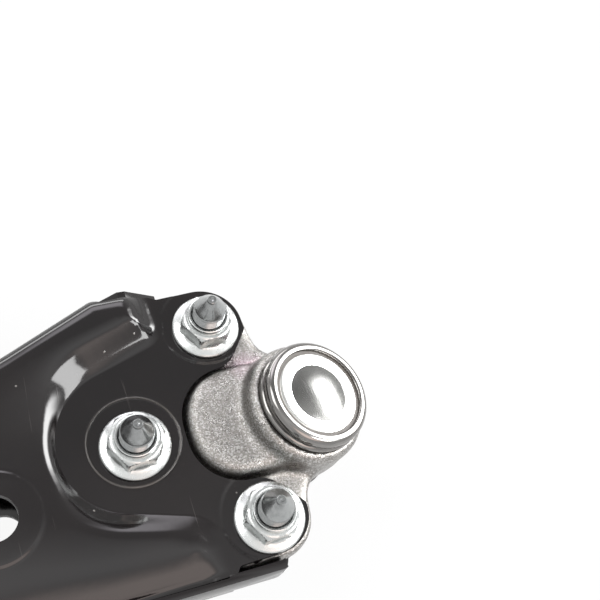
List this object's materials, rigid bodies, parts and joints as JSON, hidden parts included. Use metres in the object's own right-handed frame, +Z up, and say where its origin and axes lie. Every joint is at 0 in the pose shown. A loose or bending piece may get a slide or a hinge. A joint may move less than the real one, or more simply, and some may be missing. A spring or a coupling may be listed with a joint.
{
  "type": "control arm",
  "caption": "L-shaped pressed steel front lower control arm with a horizontal front bush, a vertical rear bush and a bolted ball joint.",
  "frame": {"origin": "centre of the front bush's bolt bore", "axes": "+X outboard to the ball joint, +Y rearward along the front bush's bore, +Z up to the nut side"},
  "size_m": [0.3995, 0.3909, 0.0802],
  "materials": {
    "painted_steel": "gloss black cathodic dip paint",
    "bare_steel": "machined bare steel",
    "rubber": "matt moulded rubber",
    "forged_zinc": "zinc-plated forging, grainy",
    "turned_steel": "turned and plated steel",
    "polished_cap": "polished pressed steel",
    "seat_plastic": "moulded white acetal",
    "zinc_plate": "bright zinc plate"
  },
  "bodies": {
    "root": {"upper_shell": "painted_steel", "lower_shell": "painted_steel", "front_bush_tube": "painted_steel", "front_bush_outer_sleeve": "bare_steel", "front_bush_rubber": "rubber", "rear_bush_ring": "painted_steel", "rear_bush_outer_sleeve": "bare_steel", "rear_bush_lining": "rubber", "rear_bush_web_front": "rubber", "rear_bush_web_rear": "rubber", "joint_bracket": "forged_zinc", "joint_cup": "turned_steel", "closing_cap": "polished_cap", "joint_bolt_inner": "zinc_plate", "joint_bolt_rear": "zinc_plate", "joint_bolt_front": "zinc_plate", "flange_nut_inner": "zinc_plate", "flange_nut_rear": "zinc_plate", "flange_nut_front": "zinc_plate", "weld_tube_lower": "painted_steel", "weld_ring_upper": "painted_steel", "weld_ring_lower": "painted_steel"},
    "front_inner": {"front_bush_jacket": "rubber", "front_bush_inner_sleeve": "bare_steel"},
    "rear_inner": {"rear_bush_hub": "rubber", "rear_bush_inner_sleeve": "bare_steel"},
    "ball_seat": {"ball_seat": "seat_plastic", "dust_boot": "rubber", "boot_clamp_ring": "turned_steel"},
    "boot_neck": {"boot_neck_ring": "turned_steel"},
    "ball_stud": {"ball_stud": "turned_steel"}
  },
  "joints": [
    {"name": "front_bush_turn", "type": "hinge", "parent": "root", "child": "front_inner", "pos_m": [0, 0, 0], "axis": [0, 1, 0], "range_deg": [-15, 15], "stiffness_Nm_per_rad": 60},
    {"name": "rear_bush_turn", "type": "hinge", "parent": "root", "child": "rear_inner", "pos_m": [0, 0.29, 0], "axis": [0, 1, 0], "range_deg": [-15, 15], "stiffness_Nm_per_rad": 40, "deforming": ["rear_bush_web_front", "rear_bush_web_rear"]},
    {"name": "stud_swing", "type": "hinge", "parent": "root", "child": "ball_seat", "pos_m": [0.345, -0.023, 0.0025], "axis": [0.2924, 0, 0.9563], "continuous": true},
    {"name": "stud_tilt", "type": "hinge", "parent": "ball_seat", "child": "boot_neck", "pos_m": [0.345, -0.023, 0.0025], "axis": [0, 1, 0], "range_deg": [-22, 22], "deforming": ["dust_boot"]},
    {"name": "stud_spin", "type": "hinge", "parent": "boot_neck", "child": "ball_stud", "pos_m": [0.345, -0.023, 0.0025], "axis": [0.2924, 0, 0.9563], "continuous": true}
  ],
  "couplings": [
    {"joint": "rear_bush_turn", "follows": "front_bush_turn", "ratio": 1}
  ]
}
